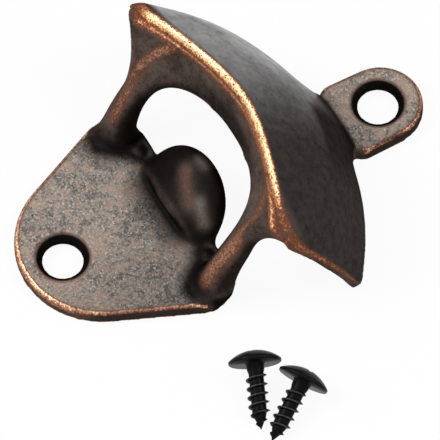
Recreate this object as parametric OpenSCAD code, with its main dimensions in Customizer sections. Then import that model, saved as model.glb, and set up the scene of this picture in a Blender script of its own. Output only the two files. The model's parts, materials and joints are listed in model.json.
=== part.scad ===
// Wall-mounted bottle opener: one hooded casting and its two loose fixing screws.
// Frame: the wall face lies on z = 0 with +z out of the wall and +y up the wall.
// The origin is the axis of the lower screw hole, on the wall face.

/* [Fixing holes] */
// Distance between the two screw holes
hole_pitch = 64; // [60:0.5:70]
// Diameter of the narrow land in each hole
hole_d = 7.2; // [6:0.1:8]
// Diameter of each hole at its front rim
hole_front_d = 9.6; // [8.6:0.1:10.4]
// Diameter of each hole at the wall face
hole_back_d = 9.2; // [8.2:0.1:10]
// Depth of the front countersink
sink_depth = 1.2; // [0.6:0.1:1.3]
// Depth of the taper on the wall side
relief_depth = 1.3; // [0.4:0.1:1.3]

/* [Base plate] */
// Thickness of the base plate and the tab
plate_t = 3; // [2.8:0.1:4]
// Radius of the rounded lower end
plate_end_r = 15.6; // [14:0.2:19]
// Distance from the lower hole up to the centre of the rounded end
plate_end_up = 8; // [5:0.5:10]
// Width across the shoulders, under the legs
shoulder_w = 42.6; // [41:0.2:46]
// Distance from the lower hole up to the plate's upper edge
plate_top_y = 25; // [23:0.5:26]
// Radius of the cast edges
edge_r = 1; // [0.5:0.1:1.2]

/* [Tab] */
// Radius of the tab's round end
tab_r = 7.6; // [7:0.1:9]
// Distance from the upper hole up to the centre of that round end
tab_end_up = 0.5; // [0:0.1:1]
// Width of the tab beside the hood
tab_root_w = 15.6; // [15:0.2:17]

/* [Hood] */
// Width of the brim between its two ends
brim_w = 57.6; // [55:0.2:60]
// Height of the brim's crest above the wall, at its middle
brim_z = 28.2; // [26:0.2:30]
// How much lower the brim's crest lies at its ends
brim_droop = 2; // [0:0.1:3]
// Distance from the lower hole up to the brim's middle
brim_y = 37.1; // [36.5:0.1:39]
// How far the brim's ends hang below its middle
brim_bow = 7.6; // [6:0.2:9]
// Width of the hood's round front corners, along the brim
brim_corner_w = 6; // [4:0.2:8]
// Length of the hood's round front corners, back along the sides
brim_corner_l = 6.6; // [5:0.2:11]
// Width of the hood where it meets the wall
hood_wall_w = 59.4; // [58:0.2:64]
// Distance from the lower hole up to the middle of the hood's arc on the wall
hood_wall_y = 55.4; // [54:0.2:56.4]
// How far that arc's ends lie below its middle
hood_wall_bow = 11.6; // [9:0.2:13]
// Radius of the hood's corners at the wall
wall_corner_r = 2.6; // [1.6:0.2:4]
// Distance from the lower hole up to the hood's neck, where it sweeps out over the tab
neck_y = 57; // [56.6:0.2:58]
// Thickness of the hood
hood_t = 2.9; // [2.4:0.1:3.6]
// Outward bulge of the roof between brim and wall
roof_bulge = 3.8; // [2:0.1:6]
// Outward bulge of the roof at its two ends
wing_bulge = 0.6; // [0:0.1:2]

/* [Arch] */
// Clear width between the legs, for a crown cap
arch_w = 30.5; // [29.5:0.1:32]
// Width of each leg
leg_w = 6; // [5:0.1:7]
// Thickness of the legs and the arch, front to back
arch_t = 4.6; // [4:0.1:5.4]
// Distance from the lower hole up to the foot of the legs
foot_y = 20.5; // [19:0.5:22]
// Height of the legs' bend above the wall
bend_z = 19.5; // [18:0.5:21]
// Distance from the lower hole up to the legs' bend
bend_y = 25; // [24:0.5:27]
// Height of the arch's middle above the wall
crown_z = 18.5; // [17:0.5:19]
// Distance from the lower hole up to the arch's middle
crown_y = 36.8; // [35:0.2:37.4]
// Extra spread at the feet of the legs and the tongue
foot_flare = 1.6; // [0.8:0.1:2]
// Share of the legs below the arch's curve
leg_share = 0.4; // [0.3:0.05:0.5]

/* [Tongue] */
// Width of the cap-lifting tongue at its root
tongue_w = 20; // [16:0.5:22]
// Thickness of the tongue
tongue_t = 7; // [6:0.2:7.6]
// Height of the tongue's tip above the wall
tongue_z = 9.6; // [8:0.2:10]
// Distance from the lower hole up to the tongue's tip
tongue_tip_y = 30.4; // [29:0.2:31]

/* [Screws] */
// Diameter of the truss head
head_d = 9.4; // [8.4:0.1:9.6]
// Height of the head
head_h = 2.3; // [1.8:0.1:2.6]
// Outside diameter of the thread
screw_d = 3.9; // [3.5:0.1:4.2]
// Length under the head
screw_l = 12; // [10:0.5:13]
// Length of the pointed end
point_l = 3.2; // [2.4:0.1:4]
// Length of each slot of the cross recess
recess_l = 4.6; // [3.6:0.1:5]
// Width of each slot of the cross recess
recess_w = 1; // [0.8:0.1:1.2]
// Depth of the cross recess
recess_depth = 1.3; // [0.8:0.1:1.5]
// Left screw's point, across the floor
left_point_x = 46.6; // [45.5:0.1:47.5]
// Left screw's point, up the floor
left_point_y = 13.8; // [12.3:0.1:14.3]
// Way the left screw points, in degrees
left_screw_turn = -24; // [-30:1:-20]
// Right screw's point, across the floor
right_point_x = 49.5; // [49.3:0.1:52]
// Right screw's point, up the floor
right_point_y = 14.2; // [14.1:0.1:17.3]
// Way the right screw points, in degrees
right_screw_turn = -58; // [-62:1:-54]

/* [Hidden] */
$fn = 64;

// Fineness of the lofts
ROOF_STEPS = 12;
HOOD_STEPS = 48;
ARCH_STEPS = 28;
LEG_STEPS = 5;
BAR_SIDES = 24;
WEB_STEPS = 5;
EDGE_STEPS = 4;
TONGUE_STEPS = 12;

// How deep the legs, the tongue and the tab are sunk into what they grow from
ROOT_SINK = 1.5;
TAB_SINK = 2.2;
TAB_ROOT_L = 1;
TAB_ROOT_SHARE = 0.76;
TAB_CORNER_R = 1.8;
CUT_MARGIN = 1;
SEAM = 0.001;
SHOULDER_R = 6;

// Shape of the hood: its plan curve, its neck, its round corners and the bevel along its brim
PLAN_BEND = 0.3;
DROOP_POWER = 4;
BULGE_POWER = 7;
NECK_SHARE = 0.95;
NECK_SIDE_POWER = 8;
NECK_FOOT = 0.9;
NECK_POWER = 7;
WING_THIN = 0.6;
INNER_CUT = 0.35;
WALL_OVERRUN = 0.05;
BRIM_BEVEL = 0.02;
LAND_SIDES = [0.2, 0.8];

// Shape of the arch: its inner curve, where it grows out of the hood and the knob at each wing
ARCH_POWER = 2.3;
SHOULDER_FINE = 1.5;
LEG_ROUND = 0.9;
BRIM_R = 1.1;
BRIM_INSET = 1.5;
BRIM_DEPTH = 1;
WING_ROOT = 0.9;
SHOULDER_ANGLE = 20;
SHOULDER_DIP = 1.6;
KNOB_FADE = 30;
KNOB_R = 2.3;
KNOB_DROP = 0.5;
VAULT_POWER = 2;
CROWN_GAIN = 0.6;

// Shape of the tongue: its dome, its flared root and where the dome is closed
DOME_POWER = 2.4;
FLARE_SHARE = 0.35;
TONGUE_END = 0.995;

// Screws: flat end of the point, and the straight rim under the dome
POINT_D = 0.6;
RIM_H = 0.5;

leg_edge_r = LEG_ROUND * arch_t / 2;
dome_h = head_h - RIM_H;
dome_r = (head_d * head_d / 4 + dome_h * dome_h) / (2 * dome_h);
// A lying screw touches the floor with its head's rim and its last full thread
screw_tilt = atan((head_d - screw_d) / 2 / (screw_l - point_l));

function lerp(a, b, f) = a + (b - a) * f;
function unit(v) = v / norm(v);
function bezier(p, q, r, f) = (1 - f) * (1 - f) * p + 2 * f * (1 - f) * q + f * f * r;

// Skin through rings of equal length, closed at both ends by strips across the rings
module skin(rings) {
    n = len(rings[0]);
    m = len(rings);
    points = [for (ring = rings) each ring];
    sides = [
        for (i = [0 : m - 2], j = [0 : n - 1])
            let (a = i * n + j, b = i * n + (j + 1) % n, c = b + n, d = a + n)
            each norm(points[a] - points[c]) < norm(points[b] - points[d])
                ? [[a, c, b], [a, d, c]] : [[a, d, b], [b, d, c]]
    ];
    half = n / 2 - 1;
    first = [for (j = [0 : half - 1]) each [[j, j + 1, n - 2 - j], [j, n - 2 - j, n - 1 - j]]];
    end = (m - 1) * n;
    last = [for (t = first) [for (k = [2, 1, 0]) t[k] + end]];
    polyhedron(points, concat(sides, first, last), convexity = 8);
}

// Plan curve of the brim: a shallow peak that runs out straight to the ends
function bow(u) = (sqrt(u * u + PLAN_BEND * PLAN_BEND) - PLAN_BEND)
    / (sqrt(1 + PLAN_BEND * PLAN_BEND) - PLAN_BEND);
function brim_point(u) =
    [brim_w / 2 * u, brim_y - brim_bow * bow(u), brim_z - brim_droop * pow(u, DROOP_POWER)];
function wall_point(u) = [hood_wall_w / 2 * u, hood_wall_y - hood_wall_bow * u * u, 0];

// Outward bulge of the roof at one station, across the line from brim to wall
function out_of(run) = unit([0, -run[2], run[1]]);
function bulge(u) =
    out_of(wall_point(u) - brim_point(u)) * lerp(roof_bulge, wing_bulge, pow(abs(u), BULGE_POWER));

// How far the hood's middle sweeps out to its neck at share v of the way from brim to wall
function neck_reach(u, v) =
    let (side = wall_point(u)[0] / (NECK_SHARE * tab_r))
    (neck_y - wall_point(u)[1]) * exp(-pow(side, NECK_SIDE_POWER))
        * pow(min(1, max(0, v) / NECK_FOOT), NECK_POWER)
        * min(1, max(0, (1 - v) / (1 - NECK_FOOT)));

// Roof from the brim at v = 0 to the wall at v = 1
function roof_point(u, v) =
    lerp(brim_point(u), wall_point(u), v) + bulge(u) * 4 * v * (1 - v) + [0, neck_reach(u, v), 0];
function roof_run(u, v) = wall_point(u) - brim_point(u) + bulge(u) * 4 * (1 - 2 * v);
function roof_inside(u, v) = roof_point(u, v) - out_of(roof_run(u, v)) * hood_thickness(u);

// How far a round corner of width w cuts a station back, from 0 where it starts to 1 at the hood's end
function corner_cut(u, w) =
    let (over = max(0, 1 - (1 - abs(u)) * brim_w / 2 / w))
    1 - sqrt(max(0, 1 - over * over));
function hood_thickness(u) = hood_t * (1 - WING_THIN * corner_cut(u, brim_corner_w));

function hood_ring(u) =
    let (
        run = norm(wall_point(u) - brim_point(u)),
        start = brim_corner_l / run * corner_cut(u, brim_corner_w),
        inner_start = INNER_CUT * start,
        end = 1 + WALL_OVERRUN - (wall_corner_r / run + WALL_OVERRUN) * corner_cut(u, wall_corner_r),
        shares = [for (i = [0 : ROOF_STEPS]) i / ROOF_STEPS],
        outer = [for (f = shares) roof_point(u, lerp(end, start + BRIM_BEVEL, f))],
        inner = [for (f = shares) roof_inside(u, lerp(inner_start + BRIM_BEVEL, end, f))],
        land = [for (f = LAND_SIDES) lerp(roof_point(u, start), roof_inside(u, inner_start), f)]
    )
    concat(outer, land, inner);

module hood() {
    skin([for (i = [0 : HOOD_STEPS]) hood_ring(sin(180 * (i / HOOD_STEPS - 0.5)))]);
}

// Side view of the arch: from the foot at f = 0, round the bend, to the crown at f = 1
function foot_point() = [foot_y, plate_t - ROOT_SINK];
function bend_point() = [bend_y, bend_z];
function crown_point() = [crown_y, crown_z];
function arch_side(f) = bezier(foot_point(), bend_point(), crown_point(), f);
function arch_side_run(f) =
    unit(lerp(bend_point() - foot_point(), crown_point() - bend_point(), f));
function side_point(x, f) = [x, arch_side(f)[0], arch_side(f)[1]];

// Height and reach of the bar's middle at angle a, from the leg's top round to the crown
function arch_share(a) = leg_share + (1 - leg_share) * pow(sin(a), 2 / ARCH_POWER);
function arch_across(a) = (arch_w + leg_w) / 2 * pow(cos(a), 2 / ARCH_POWER);

// Line just inside the brim's edge, where the arch grows out of the hood
function brim_root(u) =
    brim_point(u) - out_of(roof_run(u, 0)) * hood_t * BRIM_DEPTH + unit(roof_run(u, 0)) * BRIM_INSET;

// Share of the knob at the wing that is left at angle a, from 1 on the shoulder down to 0
function knob_share(a) = 1 - min(1, max(0, a - SHOULDER_ANGLE) / KNOB_FADE);

// Outer edge of the arch: up the leg, out along the shoulder to the wing, then along the brim
function arch_edge(a) =
    let (
        leg_side = side_point(arch_w / 2 + leg_w - leg_edge_r, leg_share),
        wing = brim_root(WING_ROOT) - [0, KNOB_DROP, 0],
        corner = [leg_side[0], wing[1] - SHOULDER_DIP, wing[2] - SHOULDER_DIP]
    )
    a < SHOULDER_ANGLE ? bezier(leg_side, corner, wing, a / SHOULDER_ANGLE)
        : brim_root(WING_ROOT * (90 - a) / (90 - SHOULDER_ANGLE)) - [0, KNOB_DROP * knob_share(a), 0];

// Radius of that outer edge: the leg's, then the knob's at the wing, then thinner along the brim
function arch_edge_r(a) = a < SHOULDER_ANGLE ? lerp(leg_edge_r, KNOB_R, a / SHOULDER_ANGLE)
    : lerp(BRIM_R, KNOB_R, knob_share(a));

// Direction of a vector within the plane of out and back
function in_plane(v, out, back) = unit(out * (v * out) + back * (v * back));

// One closed section of the arch, round on the inside at mid and round on the outside at edge
function arch_section(mid, edge, edge_r, run, lean, inside, deep, side) =
    let (
        out = [cos(lean), run[0] * sin(lean), run[1] * sin(lean)],
        back = [0, run[1], -run[0]],
        swing = min(1, lean / SHOULDER_ANGLE),
        reach = lean == 0 ? out : in_plane(lerp(out, unit(edge - mid), swing), out, back),
        across = back * (reach * out) - out * (reach * back),
        vault = in_plane(lerp(out, reach, pow(sin(lean), VAULT_POWER)), out, back),
        vault_across = back * (vault * out) - out * (vault * back),
        rounds = [for (k = [0 : BAR_SIDES - 1])
            let (
                c = cos(360 * (k + 0.5) / BAR_SIDES),
                s = sin(360 * (k + 0.5) / BAR_SIDES),
                p = c > 0 ? edge + reach * edge_r * c + across * edge_r * s
                    : mid + vault * inside * c + vault_across * deep * s
            )
            [side * p[0], p[1], p[2]]]
    )
    [for (k = [0 : BAR_SIDES - 1])
        each k % (BAR_SIDES / 2) == BAR_SIDES / 4 - 1
            ? [for (i = [0 : WEB_STEPS - 1]) lerp(rounds[k], rounds[k + 1], i / WEB_STEPS)]
            : [rounds[k]]];

function leg_section(i, side) =
    let (
        f = leg_share * i / LEG_STEPS,
        flare = foot_flare * pow(1 - i / LEG_STEPS, 2),
        mid = side_point((arch_w + leg_w) / 2, f),
        edge = side_point(arch_w / 2 + leg_w - leg_edge_r - flare, f)
    )
    arch_section(mid, edge, leg_edge_r + flare, arch_side_run(f), 0,
        leg_w / 2 + flare, arch_t / 2 + flare, side);

function crown_section(i, side) =
    let (a = 90 * pow(i / ARCH_STEPS, SHOULDER_FINE), f = arch_share(a))
    arch_section(side_point(arch_across(a), f), arch_edge(a), arch_edge_r(a), arch_side_run(f), a,
        leg_w / 2, arch_t / 2 + CROWN_GAIN * sin(a), side);

module arch() {
    skin(concat(
        [for (i = [0 : LEG_STEPS - 1]) leg_section(i, 1)],
        [for (i = [0 : ARCH_STEPS]) crown_section(i, 1)],
        [for (i = [ARCH_STEPS - 1 : -1 : 0]) crown_section(i, -1)],
        [for (i = [LEG_STEPS - 1 : -1 : 0]) leg_section(i, -1)]
    ));
}

// Corners of the plate and of the tab, which one hull each draws together
module plate_corners(inset) {
    translate([0, plate_end_up]) circle(plate_end_r - inset);
    for (side = [-1, 1])
        translate([side * (shoulder_w / 2 - SHOULDER_R), plate_top_y - SHOULDER_R])
            circle(SHOULDER_R - inset);
}

module tab_corners(inset) {
    root_w = TAB_ROOT_SHARE * tab_root_w;
    translate([0, hole_pitch + tab_end_up]) circle(tab_r - inset);
    for (side = [-1, 1])
        translate([side * (tab_root_w / 2 - TAB_CORNER_R), neck_y + TAB_CORNER_R / 2])
            circle(TAB_CORNER_R - inset);
    translate([0, neck_y - TAB_SINK]) square([root_w - 2 * inset, TAB_ROOT_L], center = true);
}

module base_plate() {
    hull()
        for (k = [0 : EDGE_STEPS]) {
            a = 90 * k / EDGE_STEPS;
            linear_extrude(plate_t - edge_r + edge_r * sin(a))
                plate_corners(edge_r * (1 - cos(a)));
        }
}

module tab() {
    hull()
        for (k = [0 : EDGE_STEPS]) {
            a = 90 * k / EDGE_STEPS;
            linear_extrude(plate_t - edge_r + edge_r * sin(a))
                tab_corners(edge_r * (1 - cos(a)));
        }
}

// One ring of the tongue at share f of its length, flared where it grows out of the plate
function tongue_ring(f) =
    let (
        root = [0, plate_top_y - ROOT_SINK, plate_t - ROOT_SINK],
        tip = [0, tongue_tip_y, tongue_z],
        run = unit(tip - root),
        back = [0, run[2], -run[1]],
        dome = sqrt(1 - pow(f, DOME_POWER)),
        flare = foot_flare * pow(max(0, 1 - f / FLARE_SHARE), 2),
        wide = tongue_w / 2 * dome + flare / 2,
        deep = tongue_t / 2 * dome + flare
    )
    [for (k = [0 : BAR_SIDES - 1])
        let (a = 360 * (k + 0.5) / BAR_SIDES)
        lerp(root, tip, f) + [wide * cos(a), 0, 0] + back * deep * sin(a)];

module tongue() {
    skin([for (i = [0 : TONGUE_STEPS]) tongue_ring(TONGUE_END * sin(90 * i / TONGUE_STEPS))]);
}

module screw_hole(y) {
    translate([0, y, 0]) {
        translate([0, 0, -CUT_MARGIN]) cylinder(d = hole_d, h = plate_t + 2 * CUT_MARGIN);
        translate([0, 0, plate_t - sink_depth])
            cylinder(d1 = hole_d, d2 = hole_front_d, h = sink_depth);
        translate([0, 0, plate_t - SEAM]) cylinder(d = hole_front_d, h = CUT_MARGIN);
        cylinder(d1 = hole_back_d, d2 = hole_d, h = relief_depth);
    }
}

// Everything behind the wall face, to be cut away
module behind_wall() {
    low = min(-plate_end_r, plate_end_up - plate_end_r) - CUT_MARGIN;
    high = hole_pitch + tab_end_up + tab_r + CUT_MARGIN;
    wide = hood_wall_w + 2 * CUT_MARGIN;
    deep = brim_z;
    translate([-wide / 2, low, -deep]) cube([wide, high - low, deep]);
}

module opener_casting() {
    color("saddlebrown")
    difference() {
        union() {
            base_plate();
            tab();
            tongue();
            arch();
            hood();
        }
        behind_wall();
        screw_hole(0);
        screw_hole(hole_pitch);
    }
}

// One screw, head underside at the origin and point along +z
module screw() {
    difference() {
        union() {
            intersection() {
                translate([0, 0, dome_r - head_h]) sphere(dome_r);
                translate([0, 0, -head_h]) cylinder(d = head_d, h = head_h);
            }
            cylinder(d = screw_d, h = screw_l - point_l);
            translate([0, 0, screw_l - point_l])
                cylinder(d1 = screw_d, d2 = POINT_D, h = point_l);
        }
        for (turn = [0, 90])
            rotate(turn)
                translate([-recess_l / 2, -recess_w / 2, -head_h - CUT_MARGIN])
                    cube([recess_l, recess_w, recess_depth + CUT_MARGIN]);
    }
}

// A screw on the floor, placed by its point
module lying_screw(x, y, turn) {
    translate([x, y, 0])
        rotate(turn)
            translate([-screw_l * cos(screw_tilt), 0, head_d / 2 * cos(screw_tilt)])
                rotate([0, 90 + screw_tilt, 0])
                    screw();
}

module left_screw() {
    color("dimgray") lying_screw(left_point_x, left_point_y, left_screw_turn);
}

module right_screw() {
    color("dimgray") lying_screw(right_point_x, right_point_y, right_screw_turn);
}

opener_casting();
left_screw();
right_screw();
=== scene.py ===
"""Looks of a wall-mounted bottle opener and its two loose fixing screws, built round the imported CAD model."""

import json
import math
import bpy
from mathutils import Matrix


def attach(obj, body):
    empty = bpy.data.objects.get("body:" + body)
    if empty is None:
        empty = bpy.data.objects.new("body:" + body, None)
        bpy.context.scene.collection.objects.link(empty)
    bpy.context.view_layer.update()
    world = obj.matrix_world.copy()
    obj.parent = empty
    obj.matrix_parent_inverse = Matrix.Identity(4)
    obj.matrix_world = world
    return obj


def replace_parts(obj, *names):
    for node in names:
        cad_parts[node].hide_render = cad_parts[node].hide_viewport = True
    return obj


bl_info = {
    "name": "Wall Bottle Opener",
    "version": (1, 0, 0),
    "blender": (4, 5, 0),
    "location": "View3D > Sidebar > Opener",
    "description": "Antique copper casting, black screws and a plain studio",
    "category": "Object",
}

import bmesh
import bpy
import numpy as np
from mathutils import Matrix, Vector

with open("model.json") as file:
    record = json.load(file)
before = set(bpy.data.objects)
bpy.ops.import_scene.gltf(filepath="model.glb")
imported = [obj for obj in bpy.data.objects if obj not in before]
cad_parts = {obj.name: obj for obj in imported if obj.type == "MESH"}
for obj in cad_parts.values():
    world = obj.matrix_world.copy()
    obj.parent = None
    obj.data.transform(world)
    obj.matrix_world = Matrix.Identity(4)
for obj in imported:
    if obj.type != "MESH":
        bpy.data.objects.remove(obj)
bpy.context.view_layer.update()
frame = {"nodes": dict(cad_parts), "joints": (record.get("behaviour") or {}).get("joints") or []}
MM = 0.001
NOISE_MID = 0.5
WHITE = (1, 1, 1, 1)


class CastingSettings(bpy.types.PropertyGroup):
    """Sizes and colours of the casting"""

    voxel: bpy.props.FloatProperty(
        name="Skin Cell", description="Cell of the smooth cast skin",
        default=0.36 * MM, unit="LENGTH", precision=5)
    fillet_passes: bpy.props.IntProperty(
        name="Fillet Passes", description="Rounds of smoothing in the inner corners", default=40, min=0)
    even_passes: bpy.props.IntProperty(
        name="Even Passes", description="Rounds of smoothing on the hood and the arch", default=50, min=0)
    hole_pitch: bpy.props.FloatProperty(
        name="Hole Pitch", description="Distance between the screw holes", default=64 * MM, unit="LENGTH")
    plate_t: bpy.props.FloatProperty(
        name="Plate", description="Thickness of the plate and the tab", default=3 * MM, unit="LENGTH")
    brim_w: bpy.props.FloatProperty(
        name="Brim Width", description="Width of the hood's front edge", default=57.6 * MM, unit="LENGTH")
    brim_y: bpy.props.FloatProperty(
        name="Brim Place", description="Middle of the brim above the lower hole",
        default=37.1 * MM, unit="LENGTH")
    brim_z: bpy.props.FloatProperty(
        name="Brim Height", description="Middle of the brim above the wall",
        default=28.2 * MM, unit="LENGTH")
    brim_droop: bpy.props.FloatProperty(
        name="Brim Droop", description="How much lower the brim's ends lie", default=2 * MM, unit="LENGTH")
    brim_bow: bpy.props.FloatProperty(
        name="Brim Bow", description="Drop of the brim's ends below its middle",
        default=7.6 * MM, unit="LENGTH")
    brim_bend: bpy.props.FloatProperty(
        name="Brim Bend", description="How gently the brim's middle turns", default=0.3)
    corner_w: bpy.props.FloatProperty(
        name="Corner Width", description="Width of the hood's round front corners",
        default=6 * MM, unit="LENGTH")
    corner_l: bpy.props.FloatProperty(
        name="Corner Length", description="Length of those corners along the sides",
        default=6.6 * MM, unit="LENGTH")
    wall_w: bpy.props.FloatProperty(
        name="Hood Width", description="Width of the hood at the wall", default=59.4 * MM, unit="LENGTH")
    wall_y: bpy.props.FloatProperty(
        name="Hood Place", description="Middle of the hood's arc on the wall",
        default=55.4 * MM, unit="LENGTH")
    wall_bow: bpy.props.FloatProperty(
        name="Hood Bow", description="Drop of that arc's ends", default=11.6 * MM, unit="LENGTH")
    roof_bulge: bpy.props.FloatProperty(
        name="Roof Bulge", description="Outward bulge of the hood's middle",
        default=3.8 * MM, unit="LENGTH")
    wing_bulge: bpy.props.FloatProperty(
        name="Wing Bulge", description="Outward bulge of the hood's sides", default=0.6 * MM, unit="LENGTH")
    soot: bpy.props.FloatVectorProperty(
        name="Soot", description="Black patina in the hollows",
        default=(0.0045, 0.0038, 0.0034), subtype="COLOR", size=3)
    bronze: bpy.props.FloatVectorProperty(
        name="Bronze", description="Dark brown patina",
        default=(0.078, 0.056, 0.047), subtype="COLOR", size=3)
    slate: bpy.props.FloatVectorProperty(
        name="Slate", description="Black satin of the hood",
        default=(0.038, 0.033, 0.031), subtype="COLOR", size=3)
    stone: bpy.props.FloatVectorProperty(
        name="Stone", description="Grey bloom on the flats",
        default=(0.318, 0.288, 0.262), subtype="COLOR", size=3)
    tan: bpy.props.FloatVectorProperty(
        name="Tan", description="Copper that shows through the bloom",
        default=(0.4, 0.265, 0.19), subtype="COLOR", size=3)
    rust: bpy.props.FloatVectorProperty(
        name="Rust", description="Red-brown of thin patina",
        default=(0.15, 0.058, 0.034), subtype="COLOR", size=3)
    ember: bpy.props.FloatVectorProperty(
        name="Ember", description="Red fringe beside the brim",
        default=(0.18, 0.051, 0.022), subtype="COLOR", size=3)
    copper: bpy.props.FloatVectorProperty(
        name="Copper", description="Worn copper", default=(0.42, 0.215, 0.14), subtype="COLOR", size=3)
    gold: bpy.props.FloatVectorProperty(
        name="Gold", description="Deeper copper of the brim",
        default=(0.48, 0.203, 0.088), subtype="COLOR", size=3)
    bright: bpy.props.FloatVectorProperty(
        name="Bright Copper", description="Polished copper of the brim",
        default=(0.96, 0.665, 0.36), subtype="COLOR", size=3)


class ScrewSettings(bpy.types.PropertyGroup):
    """Sizes and colours of the screws"""

    head_r: bpy.props.FloatProperty(
        name="Head Radius", description="Radius of the truss head", default=4.7 * MM, unit="LENGTH")
    head_h: bpy.props.FloatProperty(
        name="Head Height", description="Height of the head", default=2.3 * MM, unit="LENGTH")
    rim_h: bpy.props.FloatProperty(
        name="Rim", description="Straight rim under the dome", default=0.5 * MM, unit="LENGTH")
    crest_r: bpy.props.FloatProperty(
        name="Thread Radius", description="Outside radius of the thread", default=1.92 * MM, unit="LENGTH")
    core_r: bpy.props.FloatProperty(
        name="Core Radius", description="Radius between the threads", default=1.32 * MM, unit="LENGTH")
    length: bpy.props.FloatProperty(
        name="Length", description="Length under the head", default=12 * MM, unit="LENGTH")
    point_l: bpy.props.FloatProperty(
        name="Point", description="Length of the tapered point", default=3.2 * MM, unit="LENGTH")
    recess_l: bpy.props.FloatProperty(
        name="Recess Length", description="Length of each slot of the cross recess",
        default=4.6 * MM, unit="LENGTH")
    recess_w: bpy.props.FloatProperty(
        name="Recess Width", description="Width of each slot", default=1 * MM, unit="LENGTH")
    recess_depth: bpy.props.FloatProperty(
        name="Recess Depth", description="Depth of the cross recess", default=1.3 * MM, unit="LENGTH")
    pitch: bpy.props.FloatProperty(
        name="Pitch", description="Rise of the thread in one turn", default=1.6 * MM, unit="LENGTH")
    black: bpy.props.FloatVectorProperty(
        name="Black", description="Black oxide", default=(0.0055, 0.0055, 0.006), subtype="COLOR", size=3)
    steel: bpy.props.FloatVectorProperty(
        name="Steel", description="Rubbed steel on the thread's crest",
        default=(0.06, 0.06, 0.062), subtype="COLOR", size=3)


class StageSettings(bpy.types.PropertyGroup):
    """Camera, floor and lamps"""

    azimuth: bpy.props.FloatProperty(
        name="Azimuth", description="Way round the object", default=math.radians(60.5), subtype="ANGLE")
    elevation: bpy.props.FloatProperty(
        name="Elevation", description="Height above the horizon", default=math.radians(60), subtype="ANGLE")
    distance: bpy.props.FloatProperty(
        name="Distance", description="Camera to its aim", default=3.0, unit="LENGTH")
    aim: bpy.props.FloatVectorProperty(
        name="Aim", description="Point at the picture's middle",
        default=(7.06 * MM, 27.85 * MM, 3 * MM), unit="LENGTH", size=3)
    scale: bpy.props.FloatProperty(
        name="Scale", description="Share of the picture's width that one metre takes up",
        default=12.875)
    floor: bpy.props.FloatVectorProperty(
        name="Floor", description="Colour of the floor",
        default=(0.93, 0.93, 0.93), subtype="COLOR", size=3)
    floor_white: bpy.props.FloatProperty(
        name="Floor White", description="Share of plain white in the floor as it is seen",
        default=0.93, min=0, max=1)


class Wire:
    """A shader socket that can be used in sums; numbers join in as constants"""

    def __init__(self, sheet, socket):
        self.sheet, self.socket = sheet, socket

    def sum(self, operation, *terms):
        return self.sheet.add("ShaderNodeMath", {"operation": operation}, *terms)

    def __add__(self, other):
        return self.sum("ADD", self, other)

    def __radd__(self, other):
        return self.sum("ADD", other, self)

    def __sub__(self, other):
        return self.sum("SUBTRACT", self, other)

    def __rsub__(self, other):
        return self.sum("SUBTRACT", other, self)

    def __mul__(self, other):
        return self.sum("MULTIPLY", self, other)

    def __rmul__(self, other):
        return self.sum("MULTIPLY", other, self)


class Sheet:
    """One material's or world's node tree"""

    def __init__(self, owner):
        owner.use_nodes = True
        self.tree = owner.node_tree
        self.tree.nodes.clear()

    def add(self, kind, settings=None, *values, out=0, **named):
        """A node with its settings, then its sockets' values or links, by place or by name"""
        node = self.tree.nodes.new(kind)
        for key, value in (settings or {}).items():
            setattr(node, key, value)
        for key, value in [*enumerate(values), *named.items()]:
            socket = node.inputs[key.replace("_", " ") if isinstance(key, str) else key]
            if isinstance(value, Wire):
                self.tree.links.new(value.socket, socket)
            elif value is not None:
                socket.default_value = value
        return Wire(self, node.outputs[out]) if node.outputs else node

    def attribute(self, name):
        return self.add("ShaderNodeAttribute", {"attribute_name": name}, out="Fac")

    def noise(self, size, detail, roughness=0.5):
        """Noise about NOISE_MID, whose grains are about size metres across"""
        place = self.add("ShaderNodeTexCoord", out="Object")
        return self.add("ShaderNodeTexNoise", None, place, Scale=1 / size, Detail=detail, Roughness=roughness)

    def fade(self, value, low, high):
        """0 below low, 1 above high, smooth between"""
        smooth = {"interpolation_type": "SMOOTHSTEP"}
        return self.add("ShaderNodeMapRange", smooth, value, low, high, 0.0, 1.0)

    def mix(self, factor, a, b):
        """Colour a where factor is 0, b where it is 1"""
        rgba = [(*c, 1) if isinstance(c, tuple) else c for c in (a, b)]
        other_types = [None] * 5
        return self.add("ShaderNodeMix", {"data_type": "RGBA"}, factor, *other_types, *rgba, out=2)

    def seen(self):
        """1 for rays that show the background, straight or in a reflection, and 0 for light"""
        kinds = ("Camera", "Glossy", "Transmission")
        direct, glossy, through = (self.add("ShaderNodeLightPath", out=f"Is {kind} Ray") for kind in kinds)
        return self.add("ShaderNodeClamp", None, direct + glossy + through)

    def finish(self, shader, target="ShaderNodeOutputMaterial"):
        self.add(target, None, shader)


def new_material(name):
    material = bpy.data.materials.new(name)
    return material, Sheet(material)


def shade(colour, share):
    return tuple(share * c for c in colour)


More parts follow.
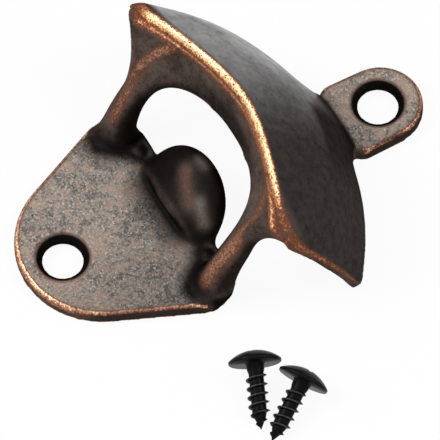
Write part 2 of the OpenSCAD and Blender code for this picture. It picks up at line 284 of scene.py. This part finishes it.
def antique_copper(s):
    """Copper under a dark patina: bright where it is rubbed and where highlights are painted, grey on the
    flats, and black with soot and painted shade in the hollows
    """
    material, m = new_material("antique_copper")
    soot, bronze, slate, stone, tan = (tuple(c) for c in (s.soot, s.bronze, s.slate, s.stone, s.tan))
    rust, ember, copper, gold, bright = (tuple(c) for c in (s.rust, s.ember, s.copper, s.gold, s.bright))
    wear, warm, soot_and_shade, flat, tint, roof, gloss = (
        m.attribute(name) for name in ("wear", "warm", "soot_and_shade", "flat", "tint", "roof", "gloss"))
    cloud = m.noise(6 * MM, 3.0)
    blotch = m.noise(1.5 * MM, 3.0, 0.6)
    speck = m.noise(1.5 * MM, 6.0, 0.85)
    grain = m.noise(0.9 * MM, 5.0, 0.8)
    dust = m.noise(0.45 * MM, 4.0, 0.75)
    glint = m.noise(0.35 * MM, 2.0, 0.6)
    pits = m.fade(m.noise(0.8 * MM, 4.0, 0.7), 0.61, 0.7)
    clouds, blotches, specks, grains, glints = (n - NOISE_MID for n in (cloud, blotch, speck, grain, glint))
    # Brown patina on the bars, black satin on the roof
    brown = m.fade((glint + blotch) * 0.5 + clouds * 0.7, 0.3, 0.7)
    satin = m.mix(m.fade(blotch, 0.3, 0.7), shade(slate, 0.8), shade(slate, 1.3))
    colour = m.mix(roof, m.mix(brown, shade(bronze, 1.4), shade(bronze, 0.6)), satin)
    # Grey bloom on the flats, thin in places and with a few sparks, and painted grey highlights on the tongue
    dusty = m.fade(dust + clouds * 0.4 + blotches * 0.3, 0.34, 0.64)
    bloom = m.mix(dusty, shade(stone, 0.4), shade(stone, 1.2))
    bloom = m.mix(m.fade(speck + clouds * 0.5 + tint * 0.06, 0.48, 0.66) * 0.6, bloom, tan)
    spark = m.mix(m.fade(blotch, 0.44, 0.6), shade(stone, 2.2), shade(tan, 1.5))
    bloom = m.mix(m.fade(glint + specks * 0.5, 0.57, 0.66) * 0.85, bloom, spark)
    colour = m.mix(flat, colour, bloom)
    # Soot in pits, and soot with painted shade in the hollows, under the arch, on the legs' sides and by the
    # tab
    colour = m.mix(pits * 0.6, colour, soot)
    colour = m.mix(soot_and_shade, colour, soot)
    # Rubbed places, with painted highlights along the legs, the shoulders and the tongue, from rust through
    # copper to bright metal, redder and with black dots along the brim
    dots = m.fade(1 - glint, 0.6, 0.68) * warm
    rubbed = wear * (1 + grains * 1.7 + glints * 2.2 + blotches * 0.5 - pits - dots * 0.6)
    colour = m.mix(m.fade(rubbed, 0.1, 0.42), colour, m.mix(warm, rust, ember))
    colour = m.mix(m.fade(rubbed, 0.27, 0.6), colour, m.mix(warm, copper, gold))
    colour = m.mix(m.fade(rubbed, 0.6, 0.95), colour, bright)
    metal = m.fade(rubbed, 0.3, 0.6) * 0.9
    rough = 0.55 - metal * 0.1 + grains * 0.3
    height = grain * (0.4 - roof * 0.3 + flat * 0.4 + metal * 0.6) - pits
    bump = m.add("ShaderNodeBump", None, Strength=0.5, Distance=0.08 * MM, Height=height)
    sheen = gloss * (1 + grains * 0.6 + blotches * 0.5 + clouds * 1.2 - pits * 0.9)
    m.finish(m.add("ShaderNodeBsdfPrincipled", None, Base_Color=colour, Metallic=metal, Roughness=rough,
                   Normal=bump, Specular_IOR_Level=0.0, Coat_Weight=sheen, Coat_Roughness=0.3, Coat_IOR=2.1))
    return material


def black_oxide(s):
    """Blackened steel, rubbed a little on the crests"""
    material, m = new_material("black_oxide")
    grain = m.noise(0.3 * MM, 3.0, 0.6)
    grains = grain - NOISE_MID
    rub = m.fade(m.attribute("wear") + grains * 0.6, 0.55, 1.1)
    colour = m.mix(rub, tuple(s.black), tuple(s.steel))
    bump = m.add("ShaderNodeBump", None, Strength=0.2, Distance=0.03 * MM, Height=grain)
    m.finish(m.add("ShaderNodeBsdfPrincipled", None, Base_Color=colour, Metallic=rub * 0.6,
                   Roughness=0.3 + grains * 0.2, Normal=bump, Specular_IOR_Level=0.04))
    return material


def link(name, mesh):
    obj = bpy.data.objects.new(name, mesh)
    bpy.context.scene.collection.objects.link(obj)
    return obj


def mesh_from(bm, name):
    mesh = bpy.data.meshes.new(name)
    bm.to_mesh(mesh)
    bm.free()
    for polygon in mesh.polygons:
        polygon.use_smooth = True
    return mesh


def settle(obj):
    """Applies the object's modifiers to its mesh"""
    shape = bpy.data.meshes.new_from_object(obj.evaluated_get(bpy.context.evaluated_depsgraph_get()))
    obj.modifiers.clear()
    obj.data = shape


def node_copy(node):
    """A closed bmesh of a CAD node"""
    bm = bmesh.new()
    bm.from_mesh(frame["nodes"][node].data)
    bmesh.ops.remove_doubles(bm, verts=bm.verts, dist=0.5e-6)
    return bm


def step(value, low, high):
    """0 below low, 1 above high, smooth between"""
    t = np.clip((value - low) / (high - low), 0, 1)
    return t * t * (3 - 2 * t)


def drop(value, low, high):
    """1 below low, 0 above high, smooth between"""
    return step(-value, -high, -low)


def bell(value, middle, width):
    """1 at the middle, falling off at about width from it"""
    return np.exp(-((value - middle) / width) ** 2)


def unit(ways):
    return ways / np.linalg.norm(ways, axis=1)[:, None]


class Skin:
    """Points, normals and neighbours of a mesh, for measuring it"""

    def __init__(self, mesh):
        self.n = len(mesh.vertices)
        self.co = self.read(mesh.vertices, "co", 3)
        self.no = self.read(mesh.vertex_normals, "vector", 3)
        pairs = np.zeros(2 * len(mesh.edges), np.int32)
        mesh.edges.foreach_get("vertices", pairs)
        a, b = pairs.reshape(-1, 2).T
        self.a, self.b = np.r_[a, b], np.r_[b, a]
        self.count = np.bincount(self.a, minlength=self.n).astype(float)

    def read(self, data, key, width):
        flat = np.zeros(width * len(data), np.float32)
        data.foreach_get(key, flat)
        return flat.reshape(-1, width).astype(float)

    def spread(self, value, passes):
        """value averaged with its neighbours, passes times"""
        for _ in range(passes):
            around = np.bincount(self.a, value[self.b], self.n) / self.count
            value = 0.5 * value + 0.5 * around
        return value

    def grow(self, value, passes, loss=0.0):
        """value raised to its highest neighbour less a loss, passes times"""
        for _ in range(passes):
            high = value.copy()
            np.maximum.at(high, self.a, value[self.b] - loss)
            value = high
        return value

    def bend(self):
        """Mean curvature in 1/mm: above 0 in inner corners, below 0 on edges and crests"""
        way = self.co[self.b] - self.co[self.a]
        rise = 2 * np.einsum("ij,ij->i", way, self.no[self.a]) / np.einsum("ij,ij->i", way, way)
        return np.bincount(self.a, rise, self.n) / self.count * MM


def store(mesh, name, value):
    layer = mesh.attributes.new(name, "FLOAT", "POINT")
    layer.data.foreach_set("value", np.clip(value, 0, 1).astype(np.float32))


def nearest(co, line):
    """Distance of each point from the nearest point of a line, and which one that is"""
    best, which = np.full(len(co), np.inf), np.zeros(len(co), int)
    for i, point in enumerate(line):
        gap = ((co - point) ** 2).sum(axis=1)
        closer = gap < best
        best[closer], which[closer] = gap[closer], i
    return np.sqrt(best), which


def stroke(co, corners, width):
    """1 along a line through the corners, falling off at about width from it"""
    place = np.linspace(0, len(corners) - 1, 16 * len(corners))
    line = np.c_[[np.interp(place, np.arange(len(corners)), axis) for axis in np.transpose(corners)]].T
    return bell(nearest(co, line)[0], 0, width)


def hood_edge(s):
    """The hood's free edge, wall to wall: points in mm, ways out of and down the roof, share of the side"""
    brim_points, side_points = 241, 40
    turns = np.sin(np.linspace(-math.pi / 2, math.pi / 2, brim_points))
    u = np.r_[np.full(side_points, -1), turns, np.full(side_points, 1)]
    side = np.r_[np.linspace(1, 0, side_points), np.zeros(brim_points), np.linspace(0, 1, side_points)]
    bend = s.brim_bend
    bow = (np.sqrt(u * u + bend ** 2) - bend) / (math.sqrt(1 + bend ** 2) - bend)
    brim = np.c_[s.brim_w / 2 * u, s.brim_y - s.brim_bow * bow, s.brim_z - s.brim_droop * u ** 4]
    run = np.c_[s.wall_w / 2 * u, s.wall_y - s.wall_bow * u * u, 0 * u] - brim
    out = unit(np.c_[0 * u, -run[:, 2], run[:, 1]])
    over = np.clip(1 - (1 - np.abs(u)) * s.brim_w / 2 / s.corner_w, 0, 1)
    start = s.corner_l / np.linalg.norm(run, axis=1) * (1 - np.sqrt(1 - over ** 2))
    v = (start + (1 - start) * side)[:, None]
    bulge = (4 * (s.roof_bulge + (s.wing_bulge - s.roof_bulge) * np.abs(u) ** 7))[:, None] * out
    edge = brim + v * run + v * (1 - v) * bulge
    down = unit(run + (1 - 2 * v) * bulge)
    lift = unit(np.c_[0 * u, -down[:, 2], down[:, 1]])
    return edge / MM, lift, down, side


# Places on the casting, in mm: half the tongue, heights up the wall, and the radius of a hole's worn rim
TONGUE_HALF = 11.5
FEET_Y = 18
BARS_Y = 33
TAB_Y = 57
MOUTH_Y = 27
HOLE_RIM_R = 4.95
# Where hands and caps have rubbed the casting and a highlight is painted over the wear, in mm: a leg and a
# shoulder, both mirrored, and the tongue
LEG_WEAR_AND_HIGHLIGHT = [(17.9, 17.4, 3.6), (17.8, 19.3, 7.2), (17.9, 21.1, 10.6),
            (18.4, 23, 13.5), (18.8, 24.4, 16.5), (18.9, 26.2, 19.5)]
SHOULDER_WEAR_AND_HIGHLIGHT = [(18.9, 26.2, 19.5), (18.3, 29.4, 22.2), (16.8, 31.5, 24.6)]
TONGUE_WEAR_AND_HIGHLIGHT = [(-1.8, 26, 8.5), (0.1, 24.8, 7.7), (1.9, 24.3, 7.2), (3.2, 23.8, 6.7)]
# Painted highlights on the tongue, in mm: a gleam and one at its tip
TONGUE_GLEAM = [(4.6, 25.1, 7.4), (7.6, 24.3, 5.6)]
TONGUE_TIP = [(-2.3, 28.7, 9.7), (-0.4, 29, 9.9)]
# Painted shade on the plate, in mm: round the tongue and a foot, mirrored
CORNER_SHADE = [(0, 22.2, 3), (5, 22.2, 3), (9.5, 22.4, 3), (12.5, 20.5, 3),
               (14.8, 17.4, 3), (16.4, 16, 3), (18.5, 16.2, 3)]


class OPENER_OT_casting(bpy.types.Operator):
    """Skin the casting, round its inner corners, wear its edges and paint in its highlights and shade"""

    bl_idname = "opener.casting"
    bl_label = "Casting"

    def execute(self, context):
        s = context.scene.opener_casting
        obj = link("opener_casting_skin", mesh_from(node_copy("opener_casting"), "casting"))
        cells = obj.modifiers.new("Skin", "REMESH")
        cells.mode, cells.voxel_size, cells.use_smooth_shade = "VOXEL", s.voxel, True
        even = obj.modifiers.new("Even", "SMOOTH")
        even.factor, even.iterations = 0.5, 4
        settle(obj)
        self.fillet(s, obj.data)
        self.even_out(s, obj.data)
        self.measure(s, obj.data)
        obj.data.materials.append(antique_copper(s))
        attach(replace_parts(obj, "opener_casting"), "opener")
        return {"FINISHED"}

    def soften(self, mesh, chosen, passes):
        """Smooths the chosen points, passes times"""
        bm = bmesh.new()
        bm.from_mesh(mesh)
        bm.verts.ensure_lookup_table()
        verts = [bm.verts[i] for i in np.nonzero(chosen)[0]]
        for _ in range(passes):
            bmesh.ops.smooth_vert(bm, verts=verts, factor=0.5,
                                  use_axis_x=True, use_axis_y=True, use_axis_z=True)
        bm.to_mesh(mesh)
        bm.free()

    def fillet(self, s, mesh):
        """Cast fillets at the feet and the tongue"""
        skin = Skin(mesh)
        x, y, z = (skin.co / MM).T
        inner = step(skin.spread(skin.bend(), 2), 0.12, 0.3) * (y < BARS_Y) * (z > 1.5) * (z < 12)
        lip = (np.abs(x) < TONGUE_HALF) & (y > 17) & (y < 24) & (z > s.plate_t / MM - 0.1) & (z < 6.5)
        self.soften(mesh, (skin.grow(inner, 5) > 0.4) | lip, s.fillet_passes)

    def even_out(self, s, mesh):
        """Takes the facets out of the hood, the arch and the tongue, away from their edges"""
        skin = Skin(mesh)
        x, y, z = (skin.co / MM).T
        inside = nearest(skin.co / MM, hood_edge(s)[0])[0] > 4
        bar = (y < BARS_Y) & ((np.abs(x) > 12) | (z > 13)) & inside
        sharp = np.abs(skin.spread(skin.bend(), 3)) > np.where(bar, 0.6, 0.33)
        self.soften(mesh, (skin.grow(sharp * 1.0, 2) < 0.5) & (z > s.plate_t / MM + 0.8), s.even_passes)

    def measure(self, s, mesh):
        """Attributes that the finish reads"""
        skin = Skin(mesh)
        co, plate = skin.co / MM, s.plate_t / MM
        x, y, z = co.T
        nx, ny, nz = skin.no.T
        right, mirrored = x > 0, np.c_[np.abs(x), y, z]
        curve = skin.spread(skin.bend(), 2)
        # Plate and tab: tops, bores, worn rims and the walls below them
        low = drop(z, plate + 0.2, plate + 0.5)
        level = step(nz, 0.93, 0.985) * drop(np.abs(z - plate), 0.2, 0.5)
        from_hole = np.minimum(np.hypot(x, y), np.hypot(x, y - s.hole_pitch / MM))
        bores = drop(from_hole, 4.6, 4.85) * (z < plate - 0.1)
        ring = bell(from_hole, HOLE_RIM_R, 0.25) * step(z, plate - 0.3, plate)
        free = ((y < FEET_Y) | (y > TAB_Y)) * low * (1 - bores)
        rim = skin.spread(step(-curve, 0.36, 0.58), 1) * free
        wall = drop(np.abs(nz), 0.6, 0.85) * free
        halo = skin.grow(np.maximum(rim, ring), 16, 0.06)
        lower_end = drop(y, -5, 2)
        # Tongue: a streak of rubbed copper with a painted highlight, and two painted gleams
        tongue = (np.abs(x) < TONGUE_HALF) * step(y, 20.5, 22) * (y < 35)
        tongue = tongue * step(z, plate + 0.2, plate + 0.6) * (z < 12)
        streak_wear_and_highlight = stroke(co, TONGUE_WEAR_AND_HIGHLIGHT, 1.9) * tongue
        gleam = np.maximum(stroke(co, TONGUE_GLEAM, 1.3), 0.7 * stroke(co, TONGUE_TIP, 1)) * tongue
        # Painted shade on the legs and arch: inner sides, outer sides and the underside
        inner_side_shade = step(-np.sign(x) * nx, 0.3, 0.75) * step(z, plate + 0.3, plate + 1)
        inner_side_shade = inner_side_shade * drop(z, 13, 18) * (y < 31)
        side_shade = step(np.abs(nx), 0.5, 0.85) * step(z, plate + 0.5, plate + 2)
        side_shade = side_shade * drop(z, 17, 21) * (y < 30)
        facing = -(nx * x + ny * (y - MOUTH_Y)) / np.hypot(x, y - MOUTH_Y)
        under = step(facing, 0.6, 0.92) * step(z, 12, 14) * drop(z, 21, 24) * step(y, 25, 28) * (y < 40)
        # Hood: its roof, painted shade at the join with the tab, and a matt part beside it with painted shade
        roof = step(0.87 * ny + 0.48 * nz, 0.45, 0.7) * step(y, 32, 34) * ((y < 57.6) | (z > plate + 0.5))
        join = roof * drop(z, 4, 12) * drop(np.abs(x), 5, 12) * step(y, 45, 51)
        matt_shade = roof * drop(z, 14.5, 17.5) * step(x, -1.5, 3) * drop(x, 8, 20)
        # Soot and painted shade in the inner corners, and painted shade between the tongue and the feet
        corner = skin.grow(step(curve, 0.05, 0.2) * (y < 36) * (z < 13), 16, 0.06)
        plate_shade = np.maximum.reduce([
            stroke(mirrored, CORNER_SHADE, 2.2) * (z < plate + 2),
            low * (y > 18.5) * (y < BARS_Y) * (nz < 0.8),
            level * step(y, 20.5, 22.5) * step(np.abs(x), 6, 9) * (y < BARS_Y)])
        brim, warm = self.brim_wear(s, co)
        # Rubbed copper with a painted highlight along each leg and shoulder
        leg_wear_and_highlight = stroke(mirrored, LEG_WEAR_AND_HIGHLIGHT, 2.1) * step(z + 2 * right, 4.5, 8.5) * (1 - 0.8 * inner_side_shade)
        shoulder_wear_and_highlight = stroke(mirrored, SHOULDER_WEAR_AND_HIGHLIGHT, np.where(right, 2.2, 1.3))
        # Wear, with painted highlight in the leg, shoulder and tongue strokes
        wear = [
            brim, 0.32 * ring, 0.25 * streak_wear_and_highlight,
            (0.74 + 0.24 * lower_end - 0.18 * (y > TAB_Y)) * rim,
            (0.1 + 0.36 * lower_end) * step(z, 0.2, 2.6) * wall,
            (0.12 + 0.28 * lower_end) * step(halo, 0.7, 1) * low,
            (0.33 + 0.1 * right) * leg_wear_and_highlight, (0.44 - 0.12 * right) * shoulder_wear_and_highlight]
        # Soot in the inner corners; painted shade round the feet and the tongue, on the legs' sides, under the
        # arch and by the tab; the tongue dark apart from its painted highlights
        soot_and_shade = [
            corner * (1 - 0.75 * gleam), tongue * (1 - gleam) * (1 - 0.8 * streak_wear_and_highlight) * 0.95, plate_shade,
            inner_side_shade * 0.9, side_shade * 0.7, under * 0.75, join * 0.85, matt_shade * 0.5,
            # Painted shade across the plate's right side; the side walls darker away from the lower end
            0.3 * level * step(x, -4, 16) * (y < TAB_Y), 0.6 * (1 - lower_end) * wall]
        sheen = roof * (1 - np.maximum(0.85 * join, matt_shade)) * drop(x, -17, 12) * 1.1
        store(mesh, "wear", np.maximum.reduce(wear))
        store(mesh, "warm", warm)
        # Black bores, and the soot and painted shade softened a little
        store(mesh, "soot_and_shade", np.maximum(bores, skin.spread(np.maximum.reduce(soot_and_shade), 3)))
        # Grey bloom on the flats, and a painted grey highlight over the tongue's gleams and streak
        store(mesh, "flat", skin.spread(np.maximum.reduce([level, 0.22 * gleam, 0.14 * streak_wear_and_highlight]), 2))
        store(mesh, "tint", halo)
        store(mesh, "roof", roof)
        store(mesh, "gloss", sheen + gleam * 0.1 + 0.012)

    def brim_wear(self, s, co):
        """Wear along the brim, a band and a line with a groove between, and how red it is"""
        edge, out, down, side = hood_edge(s)
        gap, at = nearest(co, edge)
        away, across, front = co - edge[at], edge[at, 0], side[at] == 0
        depth = -np.einsum("ij,ij->i", away, out[at])
        back = np.einsum("ij,ij->i", away, down[at])
        right = across > 0
        tips = step(np.abs(across), 16, 25)
        dull = np.where(right, tips, step(np.abs(across), 21, 28))
        merged = step(across, -4, 8)
        near = drop(np.abs(back), 1, 2.5)
        band = 0.96 * step(depth, -0.4, 0.2) * (1 - 0.5 * step(depth, 0.8, 1.9))
        band = band * step(2.1 + 0.6 * merged - depth, 0, 0.5) * drop(back, 0.15, 0.75) * (1 - 0.68 * dull)
        line = bell(depth, 2.55, 0.36) * drop(np.abs(back), 0.9, 1.8) * drop(np.abs(across), 26, 28.5)
        line = line * (0.7 - 0.22 * merged - (0.2 - 0.56 * right) * tips)
        fringe = 0.38 * bell(depth, 2.5, 1.4) * near
        ends = 0.38 * bell(gap, 0, 1.0 - 0.6 * side[at]) * tips
        wear = np.maximum(np.maximum.reduce([band, line, fringe]) * front, ends)
        return wear, bell(depth, 1.2, 2.4) * near


# The neck under a screw's head, in mm: how far it stands out from the core, and how far down
NECK = ((0.55, 0), (0.33, 0.25), (0.22, 1.2), (0, 1.9))


class OPENER_OT_screws(bpy.types.Operator):
    """Turn the two loose screws and cut their threads"""

    bl_idname = "opener.screws"
    bl_label = "Screws"

    def execute(self, context):
        s = context.scene.opener_screws
        finish = black_oxide(s)
        for name in ("left_screw", "right_screw"):
            joint = next(j for j in frame["joints"] if j["child"] == name)
            obj = self.screw(s, name)
            obj.data.transform(self.place(joint))
            self.rub(s, obj.data, joint)
            obj.data.materials.append(finish)
            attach(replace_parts(obj, name), name)
        return {"FINISHED"}

    def place(self, joint):
        """Local z along the screw, from the head's underside to the point"""
        turn = Vector((0, 0, 1)).rotation_difference(Vector(joint["axis"])).to_matrix().to_4x4()
        return Matrix.Translation(joint["pos_m"]) @ turn

    def spun(self, bm, profile, steps=48):
        """A line of (radius, height) points turned once round z"""
        verts = [bm.verts.new((r, 0, z)) for r, z in profile]
        edges = [bm.edges.new(pair) for pair in zip(verts, verts[1:])]
        bmesh.ops.spin(bm, geom=verts + edges, axis=(0, 0, 1), cent=(0, 0, 0), angle=2 * math.pi,
                       steps=steps, use_merge=True)

    def screw(self, s, name):
        """A truss head, a neck, a core and its point, then the recess and the thread"""
        bm = bmesh.new()
        rise = s.head_h - s.rim_h
        ball = (s.head_r ** 2 + rise ** 2) / (2 * rise)
        wide = math.asin(s.head_r / ball)
        tilts = [wide * i / 12 for i in range(13)]
        dome = [(ball * math.sin(tilt), ball - s.head_h - ball * math.cos(tilt)) for tilt in tilts]
        soft = 0.12 * MM
        rim = [(s.head_r, -soft), (s.head_r - soft, 0)]
        neck = [(s.core_r + out * MM, down * MM) for out, down in NECK]
        full = s.length - s.point_l
        point = [(s.core_r, full), (0.75 * s.core_r, full + 0.35 * s.point_l), (0, s.length)]
        self.spun(bm, dome + rim + neck + point)
        bmesh.ops.remove_doubles(bm, verts=bm.verts, dist=1e-6)
        bmesh.ops.recalc_face_normals(bm, faces=bm.faces)
        obj = link(name + "_threaded", mesh_from(bm, name))
        self.recess(s, obj)
        bm = bmesh.new()
        bm.from_mesh(obj.data)
        self.thread(bm, s, full)
        bmesh.ops.recalc_face_normals(bm, faces=bm.faces)
        obj.data = mesh_from(bm, name)
        return obj

    def recess(self, s, obj):
        """Cuts the cross for the driver into the head"""
        bm = bmesh.new()
        for size in ((s.recess_l, s.recess_w), (s.recess_w, s.recess_l)):
            place = Matrix.Translation((0, 0, -s.head_h)) @ Matrix.Diagonal((*size, 2 * s.recess_depth, 1))
            bmesh.ops.create_cube(bm, size=1, matrix=place)
        tool = link("cross", mesh_from(bm, "cross"))
        cut = obj.modifiers.new("Recess", "BOOLEAN")
        cut.operation, cut.solver, cut.use_self, cut.object = "DIFFERENCE", "EXACT", True, tool
        settle(obj)
        bpy.data.objects.remove(tool)

    def thread(self, bm, s, full):
        """A ridge carried round the core, which thins out on the point"""
        start, end, steps = NECK[-1][1] * MM, s.length - 0.7 * MM, 32
        count = int(steps * (end - start) / s.pitch)
        half, tip, root = 0.42 * MM, 0.06 * MM, s.core_r - 0.15 * MM
        profile = [(root, -half), (s.crest_r, -tip), (s.crest_r, tip), (root, half)]
        before = set(bm.verts)
        face = bm.faces.new([bm.verts.new((r, 0, start + z)) for r, z in profile])
        bmesh.ops.spin(bm, geom=[face], axis=(0, 0, 1), cent=(0, 0, 0), dvec=(0, 0, s.pitch / steps),
                       angle=2 * math.pi * count / steps, steps=count, use_duplicate=False)
        for v in bm.verts:
            if v in before:
                continue
            rising = max(0, (v.co.z - start + half) / s.pitch * 2)
            ending = max(0, (end + half - v.co.z) / s.pitch)
            lead = min(1, rising, ending)
            taper = 1 - max(0, (v.co.z - full) / s.point_l)
            out = math.hypot(v.co.x, v.co.y)
            ridge = max(0, out - s.core_r)
            core = s.core_r * max(0.05, taper) ** 0.8
            want = core + ridge * min(lead, 0.3 + 0.7 * taper) + min(0, out - s.core_r)
            v.co.xy *= max(want, 0.02 * MM) / out

    def rub(self, s, mesh, joint):
        """Wear on the thread's crest and the head's rim"""
        axis = np.array(joint["axis"])
        co = Skin(mesh).co - np.array(joint["pos_m"])
        along = co @ axis
        out = np.linalg.norm(co - along[:, None] * axis, axis=1)
        crest = step(out, 1.15 * s.core_r, s.crest_r)
        rim = 0.6 * step(out, 0.97 * s.head_r, s.head_r)
        store(mesh, "wear", np.where(along > 0.3 * MM, crest, rim))


class OPENER_OT_stage(bpy.types.Operator):
    """Lay the floor, hang the lamps and set the camera"""

    bl_idname = "opener.stage"
    bl_label = "Stage"

    def execute(self, context):
        s = context.scene.opener_stage
        self.floor(s)
        self.sky(context.scene)
        self.lamp("key_softbox", place=(-0.28, -0.55, 0.72), size=0.7, power=7.5)
        self.lamp("fill_softbox", place=(0.4, 0.5, 0.6), size=0.5, power=3.1)
        self.camera(context.scene, s)
        context.scene.view_settings.view_transform = "Standard"
        return {"FINISHED"}

    def floor(self, s):
        """A pale floor that takes shadows and is seen as white"""
        bm = bmesh.new()
        bmesh.ops.create_grid(bm, x_segments=1, y_segments=1, size=3)
        floor = link("floor", mesh_from(bm, "floor"))
        floor.location = (0, 0, -0.02 * MM)
        material, m = new_material("pale_floor")
        tone = m.mix(m.noise(0.2, 2.0), tuple(s.floor), shade(s.floor, 0.99))
        lit = m.add("ShaderNodeBsdfDiffuse", None, tone)
        white = m.add("ShaderNodeEmission", None, WHITE, 1.0)
        m.finish(m.add("ShaderNodeMixShader", None, m.seen() * s.floor_white, lit, white))
        floor.data.materials.append(material)

    def sky(self, scene):
        """Plain soft light from all round, seen as white"""
        scene.world = bpy.data.worlds.new("studio")
        w = Sheet(scene.world)
        plain = w.add("ShaderNodeBackground", None, WHITE, 0.25)
        white = w.add("ShaderNodeBackground", None, WHITE, 1.0)
        w.finish(w.add("ShaderNodeMixShader", None, w.seen(), plain, white), "ShaderNodeOutputWorld")

    def lamp(self, name, place, size, power):
        """A soft lamp turned to the casting's middle"""
        aim = Vector((0, 0.03, 0))
        lamp = bpy.data.lights.new(name, "AREA")
        lamp.size, lamp.energy = size, power
        obj = link(name, lamp)
        obj.location = place
        obj.rotation_euler = (Vector(place) - aim).to_track_quat("Z", "Y").to_euler()

    def camera(self, scene, s):
        """A very long lens on the aim"""
        camera = bpy.data.cameras.new("camera")
        level = math.cos(s.elevation)
        away = Vector((math.sin(s.azimuth) * level, -math.cos(s.azimuth) * level, math.sin(s.elevation)))
        camera.lens = camera.sensor_width * s.scale * s.distance
        camera.clip_start, camera.clip_end = 0.01, 20
        obj = link("camera", camera)
        obj.location = Vector(s.aim) + away * s.distance
        obj.rotation_euler = away.to_track_quat("Z", "Y").to_euler()
        scene.camera = obj


class OPENER_PT_sidebar(bpy.types.Panel):
    """Lists the settings and the makers"""

    bl_label = "Bottle Opener"
    bl_idname = "OPENER_PT_sidebar"
    bl_space_type = "VIEW_3D"
    bl_region_type = "UI"
    bl_category = "Opener"

    def draw(self, context):
        for group in GROUPS:
            settings = getattr(context.scene, group)
            box = self.layout.box()
            for key in settings.bl_rna.properties.keys():
                if key not in {"rna_type", "name"}:
                    box.prop(settings, key)
            box.operator(group.replace("_", ".", 1))


GROUPS = {"opener_casting": CastingSettings, "opener_screws": ScrewSettings, "opener_stage": StageSettings}
CLASSES = (*GROUPS.values(), OPENER_OT_casting, OPENER_OT_screws, OPENER_OT_stage, OPENER_PT_sidebar)


def register():
    for cls in CLASSES:
        bpy.utils.register_class(cls)
    for name, group in GROUPS.items():
        setattr(bpy.types.Scene, name, bpy.props.PointerProperty(type=group))


def unregister():
    for name in GROUPS:
        delattr(bpy.types.Scene, name)
    for cls in reversed(CLASSES):
        bpy.utils.unregister_class(cls)


def main():
    register()
    bpy.ops.opener.casting()
    bpy.ops.opener.screws()
    bpy.ops.opener.stage()


if __name__ == "__main__":
    main()
